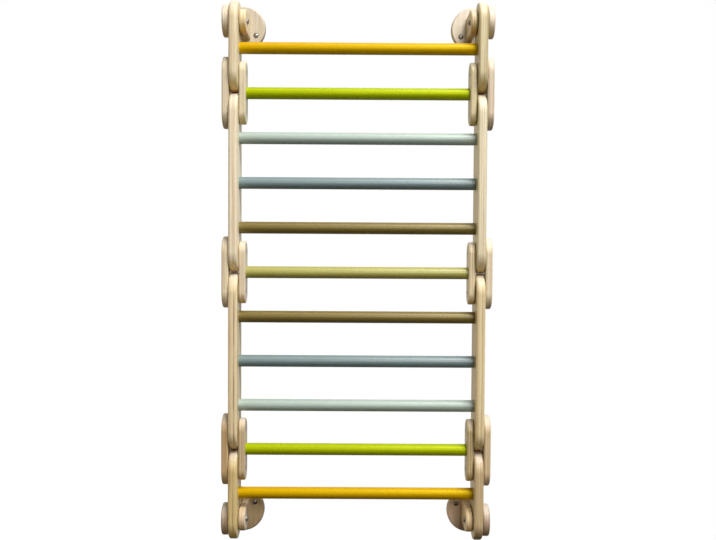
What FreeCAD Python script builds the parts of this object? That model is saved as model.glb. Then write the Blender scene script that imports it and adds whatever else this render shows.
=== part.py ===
import FreeCAD, Part
import math
import os

# Folding ladder frame of a climbing triangle, hung opened out on a wall.
# Frame: X to the right, +Y into the wall, +Z up, millimetres.
# Origin: on the wall plane, in the middle of the four wall screws, level with
# the middle rung.

V = FreeCAD.Vector

# ---------------------------------------------------------------- dimensions
PITCH = 120.0          # rung spacing
RUNG_D = 32.0          # beech dowel rungs
RUNG_STEPS = 5         # rungs above and below the middle one
CLEAR_W = 635.0        # clear width between the rails
RAIL_T = 24.0          # plywood of the rails
RAIL_R = 53.0          # half the width of a rail, and its round ends
PLATE_T = 18.0         # plywood of link plates, discs, arms and wall plates
GAP = 1.0              # running gap between a rail and the link plate beside it
END_GAP = 1.6          # the same at the wall brackets
LINK_P = 106.3         # spacing of the two pivots of a link
OUTER_R = 43.0         # round ends of the outer link plates, and the discs
INNER_R = 31.0         # round ends of the inner link plates
ARM_R = 32.0           # half the width of a bracket arm
END_OFFSET = 71.0      # end pivot to the yellow rung
WALL_GAP = 102.0       # pivot plane to the wall
WALL_R = 60.0          # round wall plates
WALL_X = 317.0         # their centres, out from the middle
WALL_EDGE = 329.5      # flat edge of a wall plate, hidden behind the rail
RAIL_ROUND = 6.0       # round-over on the rails
PLATE_ROUND = 4.5      # round-over on the plates
SOCKET = 12.0          # depth of the blind sockets that hold the rungs
SOCKET_PLAY = 0.05     # glue gap round a rung

SLEEVE_R = 5.0         # barrel of a sleeve nut, the pivot pin
PIVOT_PLAY = 0.06      # running clearance on the barrel
HEAD_R = 8.0           # flat heads of pivot bolts and sleeve nuts
HEAD_T = 2.4
NUT_R = 7.5            # domed sleeve nut heads that stand on the bracket arms
NUT_T = 4.6
BORE_R = 8.25          # counterbore for the flat heads
BORE_D = 2.6
BOLT_R = 3.0           # bolt inside the barrel

RSCREW_R = 3.5         # rung screws
RSCREW_HEAD_R = 5.2
RSCREW_L = 50.0
WSCREW_R = 3.0         # wall screws, where they stand out behind the plate
WSCREW_NECK = 3.4      # smooth shank inside the plate
WSCREW_HEAD_R = 6.3    # domed head in a shallow round recess
WSCREW_SEAT = 2.0
WSCREW_DOME = 2.6
WSCREW_OUT = 42.6      # tip of the screw behind the wall plane
WSCREW_X = 283.4       # wall screw, out from the middle
WSCREW_OFF = 20.0      # wall screw towards the middle of the ladder
BSCREW_R = 2.25        # screws from the wall plate into the arm
BSCREW_HEAD_R = 4.6
BSCREW_L = 50.0
BSCREW_OFF = 15.0

# ---------------------------------------------------------------- positions
XI = CLEAR_W / 2.0                 # inner face of a rail
XO = XI + RAIL_T                   # outer face of a rail
IP0, IP1 = XI - GAP - PLATE_T, XI - GAP      # inner link plate
OP0, OP1 = XO + GAP, XO + GAP + PLATE_T      # outer link plate
AR0, AR1 = XI - END_GAP - PLATE_T, XI - END_GAP      # bracket arm
DI0, DI1 = XO + END_GAP, XO + END_GAP + PLATE_T      # outer disc
YP = -WALL_GAP                     # plane of the rungs and pivots
LINK_STEPS = (4, 0, -4)            # rungs carried by the three links
Z_END = RUNG_STEPS * PITCH + END_OFFSET      # end pivots


def link_pivots(step):
    """Heights of the lower and upper pivot of a link."""
    z = step * PITCH
    return z - LINK_P / 2.0, z + LINK_P / 2.0


# ---------------------------------------------------------------- helpers
def cyl_x(x0, x1, y, z, r):
    """Cylinder along X between two X values."""
    return Part.makeCylinder(r, x1 - x0, V(x0, y, z), V(1, 0, 0))


def cone_x(x0, r0, x1, r1, y, z):
    if x1 > x0:
        return Part.makeCone(r0, r1, x1 - x0, V(x0, y, z), V(1, 0, 0))
    return Part.makeCone(r0, r1, x0 - x1, V(x0, y, z), V(-1, 0, 0))


def hex_prism(af, depth, base, axis):
    """Hexagon prism with the given width across flats, from base along axis."""
    rc = af / math.sqrt(3.0)
    pts = [V(rc * math.cos(math.radians(60 * i)), rc * math.sin(math.radians(60 * i)), 0)
           for i in range(7)]
    face = Part.Face(Part.makePolygon(pts))
    solid = face.extrude(V(0, 0, depth))
    solid.Placement = FreeCAD.Placement(base, FreeCAD.Rotation(V(0, 0, 1), axis))
    return solid


def rim_edges(shape, x0, x1):
    """Edges that lie in the two flat faces at x0 and x1."""
    out = []
    for e in shape.Edges:
        bb = e.BoundBox
        if bb.XMax - bb.XMin < 1e-6 and (abs(bb.XMin - x0) < 1e-6 or abs(bb.XMin - x1) < 1e-6):
            out.append(e)
    return out


def stadium_x(x0, x1, z0, z1, r, rnd):
    """Round-ended board in the YZ plane between two pivots, x0 to x1 thick."""
    a, b = V(x0, YP - r, z0), V(x0, YP - r, z1)
    c, d = V(x0, YP + r, z1), V(x0, YP + r, z0)
    if z1 - z0 < 1e-6:
        wire = Part.Wire([Part.Edge(Part.Circle(V(x0, YP, z0), V(1, 0, 0), r))])
    else:
        wire = Part.Wire([
            Part.LineSegment(a, b).toShape(),
            Part.Arc(b, V(x0, YP, z1 + r), c).toShape(),
            Part.LineSegment(c, d).toShape(),
            Part.Arc(d, V(x0, YP, z0 - r), a).toShape(),
        ])
    body = Part.Face(wire).extrude(V(x1 - x0, 0, 0))
    return body.makeFillet(rnd, rim_edges(body, x0, x1))


def mirrored(shape):
    """The same piece on the left side."""
    return shape.mirror(V(0, 0, 0), V(1, 0, 0))


def solids_of(shape):
    return list(shape.Solids)


def save(name, *shapes):
    solids = []
    for s in shapes:
        solids += solids_of(s)
    for s in solids:
        if not s.isValid() or s.Volume <= 0:
            raise RuntimeError("bad solid in " + name)
    out = solids[0] if len(solids) == 1 else Part.makeCompound(solids)
    out.exportStep("parts/" + name + ".step")
    bb = out.BoundBox
    print("%-34s %2d solid(s) %9.1f cm3  X %.1f..%.1f Y %.1f..%.1f Z %.1f..%.1f" % (
        name, len(solids), sum(s.Volume for s in solids) / 1000.0,
        bb.XMin, bb.XMax, bb.YMin, bb.YMax, bb.ZMin, bb.ZMax))


# ---------------------------------------------------------------- pieces
def pivot_hole(z):
    return cyl_x(AR0 - 2, DI1 + 2, YP, z, SLEEVE_R + PIVOT_PLAY)


def right_rail(z0, z1, rungs):
    """Right rail between two pivots with the sockets of its rungs."""
    rail = stadium_x(XI, XO, z0, z1, RAIL_R, RAIL_ROUND)
    cuts = [pivot_hole(z0), pivot_hole(z1)]
    for z in rungs:
        cuts.append(cyl_x(XI - 1, XI + SOCKET, YP, z, RUNG_D / 2 + SOCKET_PLAY))
        cuts.append(cyl_x(XI + SOCKET - 1, XO + 1, YP, z, RSCREW_R + 0.05))
        cuts.append(cone_x(XO - 3.4, RSCREW_R + 0.05, XO - 0.7, RSCREW_HEAD_R + 0.3, YP, z))
        cuts.append(cyl_x(XO - 0.71, XO + 1, YP, z, RSCREW_HEAD_R + 0.3))
    for c in cuts:
        rail = rail.cut(c)
    return rail


def rung(z, half_len, drilled):
    """Dowel with a small chamfer on both ends, drilled for its screws."""
    bar = cyl_x(-half_len, half_len, YP, z, RUNG_D / 2)
    rim = [e for e in bar.Edges if isinstance(e.Curve, Part.Circle)]
    bar = bar.makeChamfer(1.0, rim)
    if drilled:
        deep = RSCREW_L - (XO - half_len) + 1.0
        bar = bar.cut(cyl_x(half_len - deep, half_len + 1, YP, z, RSCREW_R + 0.05))
        bar = bar.cut(cyl_x(-half_len - 1, -half_len + deep, YP, z, RSCREW_R + 0.05))
    return bar


def rung_screw(z):
    """Countersunk screw from the outer face of the right rail into a rung."""
    top = XO - 0.2
    s = cyl_x(XO - RSCREW_L, top - 2.9, YP, z, RSCREW_R)
    s = s.fuse(cone_x(top - 3.0, RSCREW_R, top - 0.6, RSCREW_HEAD_R, YP, z))
    s = s.fuse(cyl_x(top - 0.6, top, YP, z, RSCREW_HEAD_R)).removeSplitter()
    return s.cut(hex_prism(4.0, 3.5, V(top - 2.6, YP, z), V(1, 0, 0)))


def end_nut(z):
    """Barrel with a domed head that stands on the inner face of a bracket arm."""
    x0, x1 = AR0 - 0.05 - NUT_T, AR0 - 0.05
    s = cyl_x(x0, x1, YP, z, NUT_R)
    rim = [e for e in s.Edges if isinstance(e.Curve, Part.Circle) and abs(e.BoundBox.XMin - x0) < 1e-6]
    s = s.makeFillet(2.6, rim)
    s = s.fuse(cyl_x(x1 - 0.1, DI1 - 5.0, YP, z, SLEEVE_R)).removeSplitter()
    s = s.cut(cyl_x(x1 + 4.0, DI1, YP, z, BOLT_R + 0.05))
    return s.cut(hex_prism(5.0, 4.4, V(x0 - 1.0, YP, z), V(1, 0, 0)))


def sleeve_nut(z):
    """Barrel with a flat head on the inner side: the pin that a rail turns on."""
    x0 = IP0 + 0.2
    s = cyl_x(x0, x0 + HEAD_T, YP, z, HEAD_R)
    rim = [e for e in s.Edges if isinstance(e.Curve, Part.Circle) and abs(e.BoundBox.XMin - x0) < 1e-6]
    s = s.makeFillet(0.8, rim)
    s = s.fuse(cyl_x(x0 + HEAD_T - 0.1, OP1 - 5.0, YP, z, SLEEVE_R)).removeSplitter()
    s = s.cut(cyl_x(x0 + 4.0, OP1, YP, z, BOLT_R + 0.05))
    return s.cut(hex_prism(6.0, 6.0, V(x0 - 1.0, YP, z), V(1, 0, 0)))


def pivot_bolt(z, face):
    """Flat-headed bolt on the outer side, screwed into the sleeve nut."""
    x1 = face - 0.2
    s = cyl_x(x1 - HEAD_T, x1, YP, z, HEAD_R)
    rim = [e for e in s.Edges if isinstance(e.Curve, Part.Circle) and abs(e.BoundBox.XMin - x1) < 1e-6]
    s = s.makeFillet(0.8, rim)
    s = s.fuse(cyl_x(XI + 4.0, x1 - HEAD_T + 0.1, YP, z, BOLT_R)).removeSplitter()
    return s.cut(hex_prism(4.0, 5.0, V(x1 - 3.6, YP, z), V(1, 0, 0)))


def right_outer_plate(x0, x1, z0, z1):
    """Outer link plate, or a disc when both heights are the same."""
    p = stadium_x(x0, x1, z0, z1, OUTER_R, PLATE_ROUND)
    for z in sorted({z0, z1}):
        p = p.cut(pivot_hole(z))
        p = p.cut(cyl_x(x1 - BORE_D, x1 + 1, YP, z, BORE_R))
    return p


def right_inner_plate(z0, z1):
    """Inner link plate with the socket of the rung at its middle."""
    p = stadium_x(IP0, IP1, z0, z1, INNER_R, PLATE_ROUND)
    for z in (z0, z1):
        p = p.cut(pivot_hole(z))
        p = p.cut(cyl_x(IP0 - 1, IP0 + BORE_D, YP, z, BORE_R))
    return p.cut(cyl_x(IP0 - 1, IP0 + SOCKET, YP, (z0 + z1) / 2, RUNG_D / 2 + SOCKET_PLAY))


def right_arm(z):
    """Tongue of a wall bracket: round at the pivot, square at the wall plate."""
    back = -PLATE_T
    a, b = V(AR0, back, z - ARM_R), V(AR0, YP, z - ARM_R)
    c, d = V(AR0, YP, z + ARM_R), V(AR0, back, z + ARM_R)
    wire = Part.Wire([
        Part.LineSegment(a, b).toShape(),
        Part.Arc(b, V(AR0, YP - ARM_R, z), c).toShape(),
        Part.LineSegment(c, d).toShape(),
        Part.LineSegment(d, a).toShape(),
    ])
    body = Part.Face(wire).extrude(V(PLATE_T, 0, 0))
    rim = [e for e in rim_edges(body, AR0, AR1) if e.BoundBox.YMin < back - 1]
    body = body.makeFillet(PLATE_ROUND, rim)
    body = body.cut(pivot_hole(z))
    xm = (AR0 + AR1) / 2
    for dz in (-BSCREW_OFF, BSCREW_OFF):
        body = body.cut(Part.makeCylinder(BSCREW_R + 0.05, BSCREW_L - PLATE_T + 1.0,
                                          V(xm, back + 0.01, z + dz), V(0, -1, 0)))
    return body


def right_wall_plate(z, side):
    """Round plate on the wall, cut straight behind the rail.

    side is -1 for the upper brackets and +1 for the lower ones: the wall
    screw sits towards the middle of the ladder."""
    h = math.sqrt(WALL_R ** 2 - (WALL_EDGE - WALL_X) ** 2)
    top, low = V(WALL_EDGE, -PLATE_T, z + h), V(WALL_EDGE, -PLATE_T, z - h)
    wire = Part.Wire([
        Part.Arc(top, V(WALL_X - WALL_R, -PLATE_T, z), low).toShape(),
        Part.LineSegment(low, top).toShape(),
    ])
    body = Part.Face(wire).extrude(V(0, PLATE_T, 0))
    front = [e for e in body.Edges
             if e.BoundBox.YMax - e.BoundBox.YMin < 1e-6 and abs(e.BoundBox.YMin + PLATE_T) < 1e-6
             and isinstance(e.Curve, Part.Circle)]
    body = body.makeFillet(PLATE_ROUND, front)
    xs, zs = WSCREW_X, z + side * WSCREW_OFF
    body = body.cut(Part.makeCylinder(WSCREW_NECK + 0.1, PLATE_T + 2, V(xs, -PLATE_T - 1, zs), V(0, 1, 0)))
    body = body.cut(Part.makeCylinder(WSCREW_HEAD_R + 1.2, WSCREW_SEAT + 1, V(xs, -PLATE_T - 1, zs), V(0, 1, 0)))
    xm = (AR0 + AR1) / 2
    for dz in (-BSCREW_OFF, BSCREW_OFF):
        body = body.cut(Part.makeCylinder(BSCREW_R + 0.05, PLATE_T + 2, V(xm, -PLATE_T - 1, z + dz), V(0, 1, 0)))
        body = body.cut(Part.makeCone(BSCREW_R + 0.05, BSCREW_HEAD_R + 0.7, 3.3,
                                      V(xm, -3.0, z + dz), V(0, 1, 0)))
    return body


def wall_screw(z, side):
    """Domed screw through a wall plate, its shank standing out behind."""
    xs, zs = WSCREW_X, z + side * WSCREW_OFF
    y0 = -PLATE_T + WSCREW_SEAT - 0.05      # underside of the head
    y1 = y0 - 0.8                           # foot of the dome
    ball = (WSCREW_HEAD_R ** 2 + WSCREW_DOME ** 2) / (2 * WSCREW_DOME)
    s = Part.makeCylinder(WSCREW_HEAD_R, 0.8, V(xs, y1, zs), V(0, 1, 0))
    cap = Part.makeSphere(ball, V(xs, y1 - WSCREW_DOME + ball, zs))
    cap = cap.common(Part.makeCylinder(WSCREW_HEAD_R, WSCREW_DOME + 1, V(xs, y1, zs), V(0, -1, 0)))
    s = s.fuse(cap)
    s = s.fuse(Part.makeCylinder(WSCREW_NECK, -y0 + 0.1, V(xs, y0 - 0.1, zs), V(0, 1, 0)))
    s = s.fuse(Part.makeCylinder(WSCREW_R, WSCREW_OUT - 5.0, V(xs, -1.0, zs), V(0, 1, 0)))
    s = s.fuse(Part.makeCone(WSCREW_R, 0.6, 6.0, V(xs, WSCREW_OUT - 6.0, zs), V(0, 1, 0))).removeSplitter()
    return s.cut(hex_prism(4.0, 3.0, V(xs, y1 - WSCREW_DOME - 1.0, zs), V(0, 1, 0)))


def bracket_screws(z):
    """Two countersunk screws from the back of a wall plate into its arm."""
    xm = (AR0 + AR1) / 2
    out = []
    for dz in (-BSCREW_OFF, BSCREW_OFF):
        s = Part.makeCone(BSCREW_HEAD_R, BSCREW_R, 2.5, V(xm, -0.25, z + dz), V(0, -1, 0))
        s = s.fuse(Part.makeCylinder(BSCREW_R, BSCREW_L - 2.6, V(xm, -2.6, z + dz), V(0, -1, 0))).removeSplitter()
        out.append(s.cut(hex_prism(3.0, 2.4, V(xm, 0.5, z + dz), V(0, -1, 0))))
    return Part.makeCompound(out)


# ---------------------------------------------------------------- build
os.makedirs("parts", exist_ok=True)

RUNG_NAMES = {5: "rung_01_yellow", 4: "rung_02_lime", 3: "rung_03_mint", 2: "rung_04_blue_grey",
              1: "rung_05_brown", 0: "rung_06_olive", -1: "rung_07_brown", -2: "rung_08_blue_grey",
              -3: "rung_09_mint", -4: "rung_10_lime", -5: "rung_11_yellow"}

up_lo, up_hi = link_pivots(LINK_STEPS[0])
mid_lo, mid_hi = link_pivots(LINK_STEPS[1])
low_lo, low_hi = link_pivots(LINK_STEPS[2])

# four ladder frames: two rails, their rungs and the rung screws
FRAMES = (("top", up_hi, Z_END, (5,)),
          ("upper", mid_hi, up_lo, (3, 2, 1)),
          ("lower", low_hi, mid_lo, (-1, -2, -3)),
          ("bottom", -Z_END, low_lo, (-5,)))
for name, z0, z1, steps in FRAMES:
    zs = [k * PITCH for k in steps]
    r = right_rail(z0, z1, zs)
    save(name + "_right_rail", r)
    save(name + "_left_rail", mirrored(r))
    for k in steps:
        save(RUNG_NAMES[k], rung(k * PITCH, XI + SOCKET - 0.2, True))
    screws = [rung_screw(z) for z in zs]
    save(name + "_rung_screws", *(screws + [mirrored(s) for s in screws]))

# three links: two plates a side, a rung between the inner plates, four pivots
for name, step in zip(("upper", "middle", "lower"), LINK_STEPS):
    z0, z1 = link_pivots(step)
    outer, inner = right_outer_plate(OP0, OP1, z0, z1), right_inner_plate(z0, z1)
    save(name + "_link_right_outer_plate", outer)
    save(name + "_link_left_outer_plate", mirrored(outer))
    save(name + "_link_right_inner_plate", inner)
    save(name + "_link_left_inner_plate", mirrored(inner))
    save(RUNG_NAMES[step], rung(step * PITCH, IP0 + SOCKET - 0.2, False))
    bolts = [pivot_bolt(z, OP1) for z in (z0, z1)]
    nuts = [sleeve_nut(z) for z in (z0, z1)]
    save(name + "_link_bolts", *(bolts + [mirrored(b) for b in bolts]))
    save(name + "_link_sleeve_nuts", *(nuts + [mirrored(n) for n in nuts]))

# wall brackets at both ends
for name, z, side in (("top", Z_END, -1), ("bottom", -Z_END, 1)):
    arm, plate, disc = right_arm(z), right_wall_plate(z, side), right_outer_plate(DI0, DI1, z, z)
    save(name + "_right_arm", arm)
    save(name + "_left_arm", mirrored(arm))
    save(name + "_right_wall_plate", plate)
    save(name + "_left_wall_plate", mirrored(plate))
    save(name + "_outer_discs", disc, mirrored(disc))
    bolt, nut = pivot_bolt(z, DI1), end_nut(z)
    save(name + "_pivot_bolts", bolt, mirrored(bolt))
    save(name + "_sleeve_nuts", nut, mirrored(nut))
    ws, bs = wall_screw(z, side), bracket_screws(z)
    save(name + "_wall_screws", ws, mirrored(ws))
    save(name + "_bracket_screws", bs, mirrored(bs))
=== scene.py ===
import bmesh
import bpy
import math
from mathutils import Matrix, Vector


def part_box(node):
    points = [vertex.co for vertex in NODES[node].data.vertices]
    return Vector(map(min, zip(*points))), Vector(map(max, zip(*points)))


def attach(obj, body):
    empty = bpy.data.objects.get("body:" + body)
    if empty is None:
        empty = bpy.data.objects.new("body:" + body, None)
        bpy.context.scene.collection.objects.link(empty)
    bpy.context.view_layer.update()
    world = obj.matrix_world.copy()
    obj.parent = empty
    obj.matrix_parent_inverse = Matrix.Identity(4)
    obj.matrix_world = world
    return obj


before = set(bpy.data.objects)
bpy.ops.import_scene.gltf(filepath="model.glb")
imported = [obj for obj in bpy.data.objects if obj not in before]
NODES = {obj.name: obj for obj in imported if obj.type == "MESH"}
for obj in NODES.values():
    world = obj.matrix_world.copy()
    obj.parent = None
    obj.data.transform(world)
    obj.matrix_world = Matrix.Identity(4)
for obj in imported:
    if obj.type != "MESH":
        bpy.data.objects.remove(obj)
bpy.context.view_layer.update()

scene = bpy.context.scene

# ------------------------------------------------------------------ camera
cam_data = bpy.data.cameras.new("camera")
cam_data.sensor_fit = "HORIZONTAL"
cam_data.sensor_width = 36.0
cam_data.lens = 47.3656
cam_data.clip_start = 0.05
cam_data.clip_end = 60.0
cam = bpy.data.objects.new("camera", cam_data)
scene.collection.objects.link(cam)
right = Vector((0.99998019, -0.00191085, 0.00599744)).normalized()
fwd = Vector((0.00211667, 0.99940235, -0.03450294)).normalized()
up = right.cross(fwd).normalized()
rot = Matrix((right, up, -fwd)).transposed()
cam.matrix_world = Matrix.Translation((-0.0027, -2.64294, 0.09518)) @ rot.to_4x4()
scene.camera = cam

scene.view_settings.view_transform = "Standard"
scene.view_settings.look = "None"
scene.view_settings.exposure = 0.0
scene.view_settings.gamma = 1.0
scene.cycles.use_denoising = True
scene.cycles.denoising_input_passes = "RGB"

# ------------------------------------------------------------------ light
# soft lobes of the studio surround: direction, sharpness, colour
LOBES = [
    ((0.0, 1.0, 0.0), 2, (0.60, 0.58, 0.55)),
    ((0.8, 0.6, 0.0), 6, (0.30, 0.29, 0.28)),
    ((-0.8, 0.6, 0.0), 6, (0.74, 0.63, 0.45)),
    ((-1.0, -0.25, 0.0), 4, (0.60, 0.54, 0.43)),
]
# softboxes: name, place, aim, size, power
BOXES = [
    ("key", (1.86, -3.33, 5.32), (0.0, -0.1, 0.0), (2.6, 2.2), 351.0),
    ("key_right", (2.34, -2.06, 5.74), (0.0, -0.1, 0.0), (2.6, 2.2), 156.0),
    ("front", (1.52, -5.79, 2.75), (0.0, -0.1, 0.0), (2.6, 2.2), 162.0),
    ("front_low", (1.11, -6.40, 1.13), (0.0, -0.1, 0.0), (2.6, 2.2), 53.0),
    ("side", (3.98, -2.40, 4.60), (0.0, -0.1, 0.0), (2.6, 2.2), 58.0),
    ("top", (0.39, -1.16, 6.40), (0.0, -0.1, 0.0), (2.6, 2.2), 62.0),
    ("top_back", (1.11, 2.95, 5.63), (0.0, -0.1, 0.0), (2.6, 2.2), 34.0),
    ("left", (-1.94, -2.04, 5.89), (0.0, -0.1, 0.0), (2.6, 2.2), 28.0),
]


def make_world():
    """Soft studio surround made of broad lobes, white where the camera sees past the object."""
    w = bpy.data.worlds.new("studio")
    w.use_nodes = True
    nt = w.node_tree
    nt.nodes.clear()
    out = nt.nodes.new("ShaderNodeOutputWorld")
    mix = nt.nodes.new("ShaderNodeMixShader")
    lit = nt.nodes.new("ShaderNodeBackground")
    white = nt.nodes.new("ShaderNodeBackground")
    white.inputs["Color"].default_value = (1, 1, 1, 1)
    white.inputs["Strength"].default_value = 1.0
    path = nt.nodes.new("ShaderNodeLightPath")
    tc = nt.nodes.new("ShaderNodeTexCoord")
    total = None
    for direction, sharp, colour in LOBES:
        dot = nt.nodes.new("ShaderNodeVectorMath")
        dot.operation = "DOT_PRODUCT"
        nt.links.new(tc.outputs["Generated"], dot.inputs[0])
        dot.inputs[1].default_value = Vector(direction).normalized()
        pos = nt.nodes.new("ShaderNodeMath")
        pos.operation = "MAXIMUM"
        nt.links.new(dot.outputs["Value"], pos.inputs[0])
        pos.inputs[1].default_value = 0.0
        power = nt.nodes.new("ShaderNodeMath")
        power.operation = "POWER"
        nt.links.new(pos.outputs[0], power.inputs[0])
        power.inputs[1].default_value = sharp
        tint = nt.nodes.new("ShaderNodeVectorMath")
        tint.operation = "SCALE"
        tint.inputs[0].default_value = colour
        nt.links.new(power.outputs[0], tint.inputs["Scale"])
        if total is None:
            total = tint.outputs[0]
        else:
            add = nt.nodes.new("ShaderNodeVectorMath")
            add.operation = "ADD"
            nt.links.new(total, add.inputs[0])
            nt.links.new(tint.outputs[0], add.inputs[1])
            total = add.outputs[0]
    if total is None:
        lit.inputs["Color"].default_value = (0, 0, 0, 1)
    else:
        nt.links.new(total, lit.inputs["Color"])
    nt.links.new(path.outputs["Is Camera Ray"], mix.inputs[0])
    nt.links.new(lit.outputs[0], mix.inputs[1])
    nt.links.new(white.outputs[0], mix.inputs[2])
    nt.links.new(mix.outputs[0], out.inputs[0])
    scene.world = w


def area(name, where, aim, size, power, colour=(1, 1, 1)):
    d = bpy.data.lights.new(name, "AREA")
    d.shape = "RECTANGLE"
    d.size, d.size_y = size
    d.energy = power
    d.color = colour
    o = bpy.data.objects.new(name, d)
    scene.collection.objects.link(o)
    o.location = where
    o.rotation_euler = (Vector(aim) - Vector(where)).to_track_quat("-Z", "Y").to_euler()
    return o


make_world()
for box in BOXES:
    area(*box)


# ------------------------------------------------------------------ node helper
class Net:
    """Small helper for building shader networks."""

    def __init__(self, name):
        self.mat = bpy.data.materials.new(name)
        self.mat.use_nodes = True
        self.nt = self.mat.node_tree
        self.nt.nodes.clear()
        self.out = self.nt.nodes.new("ShaderNodeOutputMaterial")
        self.bsdf = self.nt.nodes.new("ShaderNodeBsdfPrincipled")
        self.nt.links.new(self.bsdf.outputs[0], self.out.inputs["Surface"])
        self.tc = self.nt.nodes.new("ShaderNodeTexCoord")

    def put(self, socket, v):
        if isinstance(v, bpy.types.NodeSocket):
            self.nt.links.new(v, socket)
        elif isinstance(v, (int, float)):
            socket.default_value = v
        else:
            v = tuple(v)
            n = len(socket.default_value)
            socket.default_value = (v + (1.0,))[:n] if len(v) < n else v[:n]

    def math(self, op, a, b=None, c=None, clamp=False):
        n = self.nt.nodes.new("ShaderNodeMath")
        n.operation = op
        n.use_clamp = clamp
        self.put(n.inputs[0], a)
        if b is not None:
            self.put(n.inputs[1], b)
        if c is not None:
            self.put(n.inputs[2], c)
        return n.outputs[0]

    def vmath(self, op, a, b=None):
        n = self.nt.nodes.new("ShaderNodeVectorMath")
        n.operation = op
        self.put(n.inputs[0], a)
        if b is not None:
            self.put(n.inputs[1], b)
        return n.outputs[0]

    def sep(self, v):
        n = self.nt.nodes.new("ShaderNodeSeparateXYZ")
        self.put(n.inputs[0], v)
        return n.outputs[0], n.outputs[1], n.outputs[2]

    def comb(self, x, y, z):
        n = self.nt.nodes.new("ShaderNodeCombineXYZ")
        self.put(n.inputs[0], x)
        self.put(n.inputs[1], y)
        self.put(n.inputs[2], z)
        return n.outputs[0]

    def smooth(self, v, lo, hi, a=0.0, b=1.0):
        n = self.nt.nodes.new("ShaderNodeMapRange")
        n.interpolation_type = "SMOOTHSTEP"
        self.put(n.inputs["Value"], v)
        n.inputs["From Min"].default_value = lo
        n.inputs["From Max"].default_value = hi
        n.inputs["To Min"].default_value = a
        n.inputs["To Max"].default_value = b
        return n.outputs[0]

    def noise(self, vec, scale=1.0, detail=3.0, rough=0.55, dist=0.0):
        n = self.nt.nodes.new("ShaderNodeTexNoise")
        self.put(n.inputs["Vector"], vec)
        n.inputs["Scale"].default_value = scale
        n.inputs["Detail"].default_value = detail
        n.inputs["Roughness"].default_value = rough
        n.inputs["Distortion"].default_value = dist
        return n.outputs[0]

    def white(self, w):
        n = self.nt.nodes.new("ShaderNodeTexWhiteNoise")
        n.noise_dimensions = "1D"
        self.put(n.inputs["W"], w)
        return n.outputs["Value"]

    def mix(self, fac, a, b, blend="MIX"):
        n = self.nt.nodes.new("ShaderNodeMix")
        n.data_type = "RGBA"
        n.blend_type = blend
        self.put(n.inputs[0], fac)
        self.put(n.inputs[6], a)
        self.put(n.inputs[7], b)
        return n.outputs[2]

    def mixf(self, fac, a, b):
        n = self.nt.nodes.new("ShaderNodeMix")
        n.data_type = "FLOAT"
        self.put(n.inputs[0], fac)
        self.put(n.inputs[2], a)
        self.put(n.inputs[3], b)
        return n.outputs[0]

    def mixv(self, fac, a, b):
        n = self.nt.nodes.new("ShaderNodeMix")
        n.data_type = "VECTOR"
        self.put(n.inputs[0], fac)
        self.put(n.inputs[4], a)
        self.put(n.inputs[5], b)
        return n.outputs[1]

    def bump(self, height, strength, distance):
        n = self.nt.nodes.new("ShaderNodeBump")
        n.inputs["Strength"].default_value = strength
        n.inputs["Distance"].default_value = distance
        self.put(n.inputs["Height"], height)
        self.nt.links.new(n.outputs[0], self.bsdf.inputs["Normal"])

    def use(self, socket, v):
        self.put(self.bsdf.inputs[socket], v)


def wobble(k, lo, hi):
    """Repeatable number between lo and hi for the k-th piece."""
    s = math.sin(k * 12.9898 + 4.1414) * 43758.5453
    return lo + (hi - lo) * (s - math.floor(s))


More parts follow.
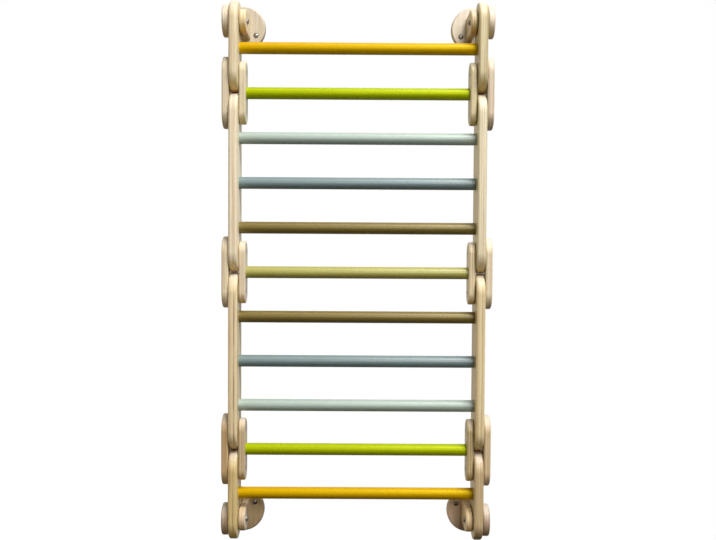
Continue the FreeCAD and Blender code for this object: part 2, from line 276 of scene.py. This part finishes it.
# ------------------------------------------------------------------ plywood
def plywood(name, axis, lo, hi, plies, k, tint=(1.0, 1.0, 1.0), seams=(), veneer=(1.0, 1.0, 1.0),
            painted_under_shade=(0.60, 1.0), lines=1.0, painted_top_light=(0.80, 1.0), painted_tip_shade=(0.0, 0.0)):
    """Lacquered birch plywood. The layers run along axis between lo and hi;
    face layers have their grain upright, every other layer lies across.
    Each seam is a layer of darker wood: its place between lo and hi, and how dark it is.
    veneer is the tone of the face towards the rungs, painted_under_shade how much painted shade, a darker warm amber,
    lies on the downward faces and how light it is, lines how clearly the layers show, painted_top_light how much
    painted light, a pale tone, lies on the upward faces and how light it is, painted_tip_shade how dark the painted
    shade is on the upper and the lower tip where two rails meet."""
    m = Net(name)

    def c(r, g, b):
        return (r * tint[0] * 0.983, g * tint[1], b * tint[2] * 0.946)

    co = m.tc.outputs["Object"]
    nrm = m.tc.outputs["Normal"]
    x, y, z = m.sep(co)
    nx, ny, nz = m.sep(nrm)
    off = (wobble(k, -9, 9), wobble(k + 50, -9, 9), wobble(k + 90, -9, 9))
    shifted = m.vmath("ADD", co, off)

    u = m.math("ABSOLUTE", x) if axis == "X" else y
    wav = m.noise(m.vmath("MULTIPLY", shifted, (7.0, 7.0, 7.0)), detail=2.0)
    t = m.math("MULTIPLY", m.math("SUBTRACT", u, lo), plies / (hi - lo))
    t = m.math("ADD", t, m.math("MULTIPLY", m.math("SUBTRACT", wav, 0.5), 0.5))
    t = m.math("MINIMUM", m.math("MAXIMUM", t, 0.5), plies - 0.5)
    i = m.math("FLOOR", t)
    f = m.math("SUBTRACT", t, i)
    par = m.math("MODULO", i, 2.0)

    edge = m.math("MINIMUM", f, m.math("SUBTRACT", 1.0, f))
    glue = m.smooth(edge, 0.03, 0.13, 1.0, 0.0)

    a_nz = m.math("ABSOLUTE", nz)
    a_cross = m.math("ABSOLUTE", ny if axis == "X" else nx)
    a_face = m.math("ABSOLUTE", nx if axis == "X" else ny)
    dot = m.mixf(par, a_nz, a_cross)
    end = m.smooth(dot, 0.30, 0.92)
    face = m.smooth(a_face, 0.75, 0.97)
    up = m.smooth(nz, 0.20, 0.95)
    down = m.smooth(nz, -0.15, -0.90)

    # grain: long fibres along Z in the even layers, across in the odd ones
    along = (360.0, 360.0, 9.0)
    across = (360.0, 9.0, 360.0) if axis == "X" else (9.0, 360.0, 360.0)
    svec = m.vmath("MULTIPLY", shifted, m.mixv(par, along, across))
    grain = m.noise(svec, detail=5.0, rough=0.62, dist=0.4)
    fig_v = (26.0, 26.0, 2.6)
    figure = m.noise(m.vmath("MULTIPLY", shifted, fig_v), detail=3.0, rough=0.5, dist=1.2)
    fleck_v = (900.0, 900.0, 55.0)
    fleck = m.smooth(m.noise(m.vmath("MULTIPLY", shifted, fleck_v), detail=1.0), 0.66, 0.74)
    pores = m.noise(m.vmath("MULTIPLY", shifted, (1300.0, 1300.0, 1300.0)), detail=1.0)
    patch = m.noise(m.vmath("MULTIPLY", shifted, (9.0, 9.0, 4.0)), detail=2.0)
    # growth rings of the peeled face veneer, as long flame-shaped contour lines
    flame = m.noise(m.vmath("MULTIPLY", shifted, (11.0, 11.0, 1.3)), detail=2.0, rough=0.42)
    ring = m.math("FRACT", m.math("MULTIPLY", flame, 17.0))
    late = m.math("MULTIPLY", m.smooth(ring, 0.35, 0.94), m.smooth(ring, 1.0, 0.95))
    tone = m.white(m.math("ADD", i, 3.7 * k + 0.31))
    streak = m.smooth(m.noise(m.vmath("MULTIPLY", shifted, (300.0, 300.0, 6.0)), detail=2.0), 0.36, 0.62, 0.35, 1.0)
    brown = m.math("MULTIPLY", m.math("MULTIPLY", m.smooth(tone, 0.50, 0.95), streak), m.math("SUBTRACT", 1.0, face))

    warm = wobble(k + 7, -0.012, 0.012)
    base_a = c(0.800 + warm, 0.660, 0.452 - warm)
    base_b = c(0.700 + warm, 0.548, 0.342 - warm)
    long_c = m.mix(m.smooth(grain, 0.30, 0.74), base_a, base_b)
    long_c = m.mix(m.math("MULTIPLY", m.smooth(figure, 0.50, 0.72), 0.30), long_c, c(0.66, 0.50, 0.30))
    long_c = m.mix(m.math("MULTIPLY", fleck, 0.28), long_c, c(0.50, 0.35, 0.20))
    long_c = m.mix(m.math("MULTIPLY", m.math("MULTIPLY", late, face), 0.26), long_c, c(0.60, 0.43, 0.235))
    end_c = m.mix(m.smooth(pores, 0.35, 0.68), c(0.63, 0.455, 0.245), c(0.45, 0.29, 0.140))
    col = m.mix(m.math("MULTIPLY", end, lines), long_c, end_c)
    col = m.mix(m.math("MULTIPLY", m.smooth(patch, 0.42, 0.70), 0.20), col, c(0.76, 0.585, 0.425))
    if axis == "Y":
        # upright streaks in the face of the round plates
        band = m.noise(m.vmath("MULTIPLY", shifted, (170.0, 170.0, 4.0)), detail=2.0, rough=0.5)
        col = m.mix(m.math("MULTIPLY", m.math("MULTIPLY", m.smooth(band, 0.50, 0.66), face), 0.45), col, c(0.60, 0.43, 0.25))
        col = m.mix(m.math("MULTIPLY", m.math("MULTIPLY", m.smooth(band, 0.46, 0.32), face), 0.45), col, c(0.86, 0.73, 0.54))
    col = m.mix(m.math("MULTIPLY", tone, 0.20), col, c(0.58, 0.43, 0.26))
    col = m.mix(m.math("MULTIPLY", brown, 0.62), col, c(0.45, 0.29, 0.150))
    for n, (place, dark) in enumerate(seams):
        d = m.math("ABSOLUTE", m.math("SUBTRACT", t, place * plies))
        line = m.math("MULTIPLY", m.smooth(d, 0.35, 1.05, 1.0, 0.0), m.math("SUBTRACT", 1.0, face))
        run = m.noise(m.vmath("ADD", m.vmath("MULTIPLY", shifted, (40.0, 40.0, 5.0)), (3.1 * n, 7.7, 1.9 * n)), detail=3.0)
        line = m.math("MULTIPLY", line, m.smooth(run, 0.44, 0.62))
        col = m.mix(m.math("MULTIPLY", line, dark), col, c(0.30, 0.165, 0.105))
    col = m.mix(m.math("MULTIPLY", glue, 0.45), col, c(0.26, 0.165, 0.085))
    # painted light on the upward faces, which turn pale, and painted shade on the downward faces, which turn a darker
    # warm amber
    pale = (0.570 * painted_top_light[1], 0.502 * painted_top_light[1], 0.400 * painted_top_light[1])
    col = m.mix(m.math("MULTIPLY", up, painted_top_light[0]), col, pale)
    under_shade_colour = c(0.76 * painted_under_shade[1], 0.49 * painted_under_shade[1], 0.155 * painted_under_shade[1])
    col = m.mix(m.math("MULTIPLY", down, painted_under_shade[0]), col, under_shade_colour)
    # painted shade on the rail tips deep in the crease where two rails meet: a dark brown colour, with lowered
    # specular
    dull = None
    for tip, dark in ((m.smooth(nz, 0.84, 0.97), painted_tip_shade[0]), (m.smooth(nz, -0.84, -0.97), painted_tip_shade[1])):
        if dark:
            col = m.mix(m.math("MULTIPLY", tip, dark), col, (0.210, 0.080, 0.024))
            dull = tip if dull is None else m.math("ADD", dull, tip)
    inside = m.smooth(m.math("MULTIPLY", nx, m.math("SIGN", x)), -0.75, -0.97)
    col = m.mix(inside, col, veneer, blend="MULTIPLY")
    m.use("Base Color", col)

    rgh = m.math("ADD", m.mixf(end, 0.38, 0.50), m.math("MULTIPLY", m.math("SUBTRACT", grain, 0.5), 0.16))
    m.use("Roughness", rgh)
    if dull is not None:
        m.use("Specular IOR Level", m.math("SUBTRACT", 0.5, m.math("MULTIPLY", dull, 0.50)))
    h = m.math("ADD", m.math("MULTIPLY", grain, 0.6), m.math("MULTIPLY", m.math("MULTIPLY", pores, end), 0.5))
    h = m.math("SUBTRACT", h, m.math("MULTIPLY", glue, 0.5))
    m.bump(h, 0.20, 0.0004)
    return m.mat


# ------------------------------------------------------------------ paint
def paint(name, colour, k, gloss=(1.0, 1.0, 1.0)):
    """Satin paint on a beech dowel that lies along X."""
    m = Net(name)
    co = m.vmath("ADD", m.tc.outputs["Object"], (wobble(k, -9, 9), wobble(k + 40, -9, 9), wobble(k + 80, -9, 9)))
    fibre = m.noise(m.vmath("MULTIPLY", co, (7.0, 420.0, 420.0)), detail=4.0, rough=0.6, dist=0.3)
    cloud = m.noise(m.vmath("MULTIPLY", co, (14.0, 40.0, 40.0)), detail=3.0)
    pit = m.smooth(m.noise(m.vmath("MULTIPLY", co, (120.0, 900.0, 900.0)), detail=1.0), 0.70, 0.78)
    scuff = m.smooth(m.noise(m.vmath("MULTIPLY", co, (30.0, 160.0, 160.0)), detail=4.0, rough=0.7), 0.68, 0.78)
    c = Vector(colour)
    deep = tuple(c * 0.96)
    pale = tuple(c * 0.965 + Vector((1, 1, 1)) * 0.036 * max(colour))
    col = m.mix(m.smooth(cloud, 0.35, 0.68), colour, deep)
    col = m.mix(m.math("MULTIPLY", m.smooth(fibre, 0.52, 0.80), 0.10), col, tuple(c * 0.90))
    col = m.mix(m.math("MULTIPLY", scuff, 0.30), col, pale)
    col = m.mix(m.math("MULTIPLY", pit, 0.12), col, tuple(c * 0.70))
    m.use("Base Color", col)
    rgh = m.math("ADD", 0.34, m.math("MULTIPLY", m.math("SUBTRACT", cloud, 0.5), 0.03))
    rgh = m.math("ADD", rgh, m.math("MULTIPLY", scuff, 0.08))
    m.use("Roughness", rgh)
    m.use("Specular IOR Level", 0.58)
    m.use("Specular Tint", gloss)
    h = m.math("SUBTRACT", m.math("MULTIPLY", fibre, 0.7), m.math("MULTIPLY", pit, 0.4))
    m.bump(h, 0.003, 0.0003)
    return m.mat


# ------------------------------------------------------------------ steel
def zinc(name, k):
    m = Net(name)
    co = m.vmath("ADD", m.tc.outputs["Object"], (wobble(k, -9, 9), wobble(k + 40, -9, 9), wobble(k + 80, -9, 9)))
    cloud = m.noise(m.vmath("MULTIPLY", co, (220.0, 220.0, 220.0)), detail=3.0)
    fine = m.noise(m.vmath("MULTIPLY", co, (2400.0, 2400.0, 900.0)), detail=2.0)
    col = m.mix(m.smooth(cloud, 0.35, 0.68), (0.31, 0.30, 0.285), (0.21, 0.205, 0.195))
    m.use("Base Color", col)
    m.use("Metallic", 1.0)
    m.use("Roughness", m.math("ADD", 0.32, m.math("MULTIPLY", cloud, 0.16)))
    m.bump(fine, 0.10, 0.0002)
    return m.mat


# ------------------------------------------------------------------ finishes on the nodes
def finish(node, mat):
    o = NODES[node]
    o.data.materials.clear()
    o.data.materials.append(mat)


XI, XO = 0.3175, 0.3415
# boards come from different sheets, so they differ a little in tone; the factors also hold painted shade: the bottom
# wall plates and bottom discs are made much darker than the top ones, where they sit in shade under the rungs
TONE_AND_SHADE = {
    "top_left_rail": (0.97, 1.04, 1.11),
    "top_right_rail": (0.75, 0.78, 0.71),
    "upper_left_rail": (1.11, 1.18, 1.37),
    "upper_right_rail": (0.97, 1.05, 1.15),
    "lower_left_rail": (1.03, 1.05, 1.06),
    "lower_right_rail": (0.98, 0.98, 0.91),
    "bottom_left_rail": (0.95, 0.90, 0.66),
    "bottom_right_rail": (0.81, 0.77, 0.71),
    "upper_link_left_outer_plate": (0.87, 0.92, 1.06),
    "upper_link_left_inner_plate": (0.87, 0.94, 1.04),
    "upper_link_right_outer_plate": (0.83, 0.85, 1.00),
    "upper_link_right_inner_plate": (0.79, 0.83, 0.77),
    "middle_link_left_outer_plate": (1.04, 1.09, 1.20),
    "middle_link_left_inner_plate": (0.92, 0.94, 1.05),
    "middle_link_right_outer_plate": (0.99, 1.05, 1.20),
    "middle_link_right_inner_plate": (0.97, 0.99, 1.03),
    "lower_link_left_outer_plate": (0.79, 0.69, 0.57),
    "lower_link_left_inner_plate": (0.77, 0.74, 0.72),
    "lower_link_right_outer_plate": (0.87, 0.84, 0.83),
    "lower_link_right_inner_plate": (0.72, 0.70, 0.60),
    "top_left_arm": (1.01, 1.01, 0.98),
    "top_left_wall_plate": (0.66, 0.70, 0.85),
    "top_right_arm": (0.77, 0.74, 0.63),
    "top_right_wall_plate": (0.80, 0.85, 1.03),
    "top_outer_discs": (0.93, 0.99, 1.23),
    "bottom_left_arm": (0.89, 0.86, 0.94),
    "bottom_left_wall_plate": (0.55, 0.48, 0.40),
    "bottom_right_arm": (1.00, 0.95, 0.85),
    "bottom_right_wall_plate": (0.86, 0.76, 0.82),
    "bottom_outer_discs": (0.59, 0.54, 0.61),
}
VENEER = {"upper_left_rail": (1.08, 1.09, 1.06), "upper_right_rail": (1.01, 1.00, 0.75),
          "lower_left_rail": (0.86, 0.83, 0.75), "lower_right_rail": (0.84, 0.76, 0.57)}
SEAMS = {"top_left_rail": ((0.30, 0.50), (0.72, 0.40)), "top_right_rail": ((0.58, 0.35),),
         "upper_left_rail": ((0.55, 0.30),), "upper_right_rail": ((0.35, 0.25), (0.68, 0.30)),
         "lower_left_rail": ((0.33, 0.85), (0.80, 0.25)), "lower_right_rail": ((0.62, 0.40),),
         "bottom_left_rail": ((0.42, 0.60), (0.75, 0.50)), "bottom_right_rail": ((0.38, 0.50), (0.70, 0.45))}
# how clearly the layers show
LINES = {"top_left_rail": 0.50, "top_right_rail": 0.40, "upper_left_rail": 0.35, "upper_right_rail": 0.30,
         "lower_left_rail": 0.55, "lower_right_rail": 0.45, "upper_link_left_outer_plate": 0.40,
         "upper_link_right_outer_plate": 0.40, "upper_link_left_inner_plate": 0.40,
         "upper_link_right_inner_plate": 0.50, "middle_link_left_outer_plate": 0.60,
         "middle_link_right_outer_plate": 0.50, "middle_link_left_inner_plate": 0.50,
         "middle_link_right_inner_plate": 0.60}
# painted shade on the downward faces: how much darker warm amber they get and how light it is; several pieces get a
# lighter amber, which is painted warm bounced light
PAINTED_UNDER_SHADE = {"top_left_rail": (0.88, 1.30), "top_right_rail": (0.88, 1.17), "upper_left_rail": (0.70, 1.30),
         "upper_right_rail": (0.80, 1.15), "lower_left_rail": (0.60, 1.04), "lower_right_rail": (0.60, 0.95),
         "bottom_left_rail": (0.60, 1.05), "bottom_right_rail": (0.85, 0.45),
         "top_left_arm": (0.95, 0.95), "top_right_arm": (0.90, 1.0),
         "middle_link_left_inner_plate": (0.60, 1.25), "lower_link_right_inner_plate": (0.50, 1.50)}


# painted light on the upward faces: how much pale tone they get and how light it is; the bottom arms get none
PAINTED_TOP_LIGHT = {"bottom_left_arm": (0.0, 1.0), "bottom_right_arm": (0.0, 1.0), "upper_left_rail": (0.95, 0.88),
          "upper_right_rail": (0.90, 0.94)}
# painted shade on the rail tips where two rails meet: how dark the upper and the lower tip are
PAINTED_TIP_SHADE = {"top": (0.0, 0.35), "upper": (0.80, 0.45), "lower": (0.80, 0.50), "bottom": (0.80, 0.0)}


def board(node, axis, lo, hi, plies, k, painted_under_shade=(0.60, 1.0)):
    finish(node, plywood("ply_" + node, axis, lo, hi, plies, k, TONE_AND_SHADE[node], SEAMS.get(node, ()),
                         VENEER.get(node, (1.0, 1.0, 1.0)), PAINTED_UNDER_SHADE.get(node, painted_under_shade), LINES.get(node, 0.75),
                         PAINTED_TOP_LIGHT.get(node, (0.80, 1.0)), PAINTED_TIP_SHADE.get(node.split("_")[0], (0.0, 0.0)) if node.endswith("_rail") else (0.0, 0.0)))


k = 1
for name in ("top", "upper", "lower", "bottom"):
    for side in ("left", "right"):
        board(f"{name}_{side}_rail", "X", XI, XO, 9, k)
        k += 1
for name in ("upper", "middle", "lower"):
    for side in ("left", "right"):
        board(f"{name}_link_{side}_outer_plate", "X", 0.3425, 0.3605, 7, k, (0.0, 1.0))
        board(f"{name}_link_{side}_inner_plate", "X", 0.2985, 0.3165, 7, k + 1)
        k += 2
for name in ("top", "bottom"):
    for side in ("left", "right"):
        board(f"{name}_{side}_arm", "X", 0.2979, 0.3159, 7, k)
        board(f"{name}_{side}_wall_plate", "Y", -0.018, 0.0, 7, k + 1)
        k += 2
    board(f"{name}_outer_discs", "X", 0.3431, 0.3611, 7, k)
    k += 1

YELLOW = (0.489, 0.275, 0.0003)
LIME = (0.300, 0.364, 0.0004)
MINT = (0.322, 0.387, 0.332)
BLUE_GREY = (0.149, 0.204, 0.204)
BROWN = (0.149, 0.107, 0.0243)
OLIVE = (0.330, 0.306, 0.0710)
# colour of the gloss on each paint
GLOSS = {YELLOW: (1.0, 0.95, 0.06), LIME: (0.97, 1.0, 0.08), BROWN: (1.0, 0.90, 0.62), OLIVE: (1.0, 0.97, 0.85)}
for name, colour in (("rung_01_yellow", YELLOW), ("rung_02_lime", LIME), ("rung_03_mint", MINT),
                     ("rung_04_blue_grey", BLUE_GREY), ("rung_05_brown", BROWN), ("rung_06_olive", OLIVE),
                     ("rung_07_brown", BROWN), ("rung_08_blue_grey", BLUE_GREY), ("rung_09_mint", MINT),
                     ("rung_10_lime", LIME), ("rung_11_yellow", YELLOW)):
    finish(name, paint("paint_" + name, colour, k, GLOSS.get(colour, (1.0, 1.0, 1.0))))
    k += 1

for node in sorted(NODES):
    if node.endswith(("_screws", "_bolts", "_nuts")):
        finish(node, zinc("zinc_" + node, k))
        k += 1


# ------------------------------------------------------------------ screw threads
def threads(node, body, mat):
    """Wood thread along the free shanks of the two wall screws of a pair."""
    lo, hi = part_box(node)
    tip, xc, zc = hi[1], hi[0] - 0.0063, (lo[2] + hi[2]) / 2
    pitch, first, last, steps = 0.0024, 0.0022, tip - 0.0009, 28
    count = int((last - first) / pitch * steps)
    bm = bmesh.new()
    for side in (-1, 1):
        rows = []
        for i in range(count + 1):
            y = first + (last - first) * i / count
            a = side * 2 * math.pi * i / steps
            core = 0.0030 - 0.0024 * max(0.0, (y - (tip - 0.006)) / 0.006)
            rise = 0.00085 * min(1.0, i / (0.8 * steps), (count - i) / (1.6 * steps) + 0.12)
            ring = []
            for r, dy in ((core - 0.0003, -0.00072), (core + rise, 0.00012), (core - 0.0003, 0.00072)):
                r = max(r, 0.0001)
                ring.append(bm.verts.new((side * xc + r * math.cos(a), y + dy, zc + r * math.sin(a))))
            rows.append(ring)
        for a, b in zip(rows, rows[1:]):
            for j in range(3):
                bm.faces.new((a[j], a[(j + 1) % 3], b[(j + 1) % 3], b[j]))
        bm.faces.new(rows[0])
        bm.faces.new(rows[-1])
    bmesh.ops.recalc_face_normals(bm, faces=bm.faces)
    me = bpy.data.meshes.new(node + "_threads")
    bm.to_mesh(me)
    bm.free()
    o = bpy.data.objects.new(node + "_threads", me)
    scene.collection.objects.link(o)
    me.materials.append(mat)
    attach(o, body)


for name in ("top", "bottom"):
    threads(f"{name}_wall_screws", f"{name}_brackets", zinc(f"zinc_{name}_threads", k))
    k += 1


# ------------------------------------------------------------------ floor
def make_floor():
    me = bpy.data.meshes.new("floor")
    n, r, z = 96, 0.95, -1.05
    vs = [(r * math.cos(2 * math.pi * i / n), -0.30 + r * math.sin(2 * math.pi * i / n), z) for i in range(n)]
    me.from_pydata(vs, [], [list(range(n))])
    o = bpy.data.objects.new("floor", me)
    scene.collection.objects.link(o)
    m = Net("floor_pale")
    c = m.noise(m.vmath("MULTIPLY", m.tc.outputs["Object"], (3.0, 3.0, 3.0)), detail=2.0)
    m.use("Base Color", m.mix(c, (0.80, 0.80, 0.795), (0.84, 0.84, 0.835)))
    m.use("Roughness", 0.8)
    fx, fy, fz = m.sep(m.vmath("ADD", m.tc.outputs["Object"], (0.0, 0.30, 0.0)))
    rad = m.math("SQRT", m.math("ADD", m.math("MULTIPLY", fx, fx), m.math("MULTIPLY", fy, fy)))
    m.use("Alpha", m.smooth(rad, 0.35, 0.93, 1.0, 0.0))
    me.materials.append(m.mat)
    o.visible_diffuse = False
    o.visible_glossy = False


make_floor()
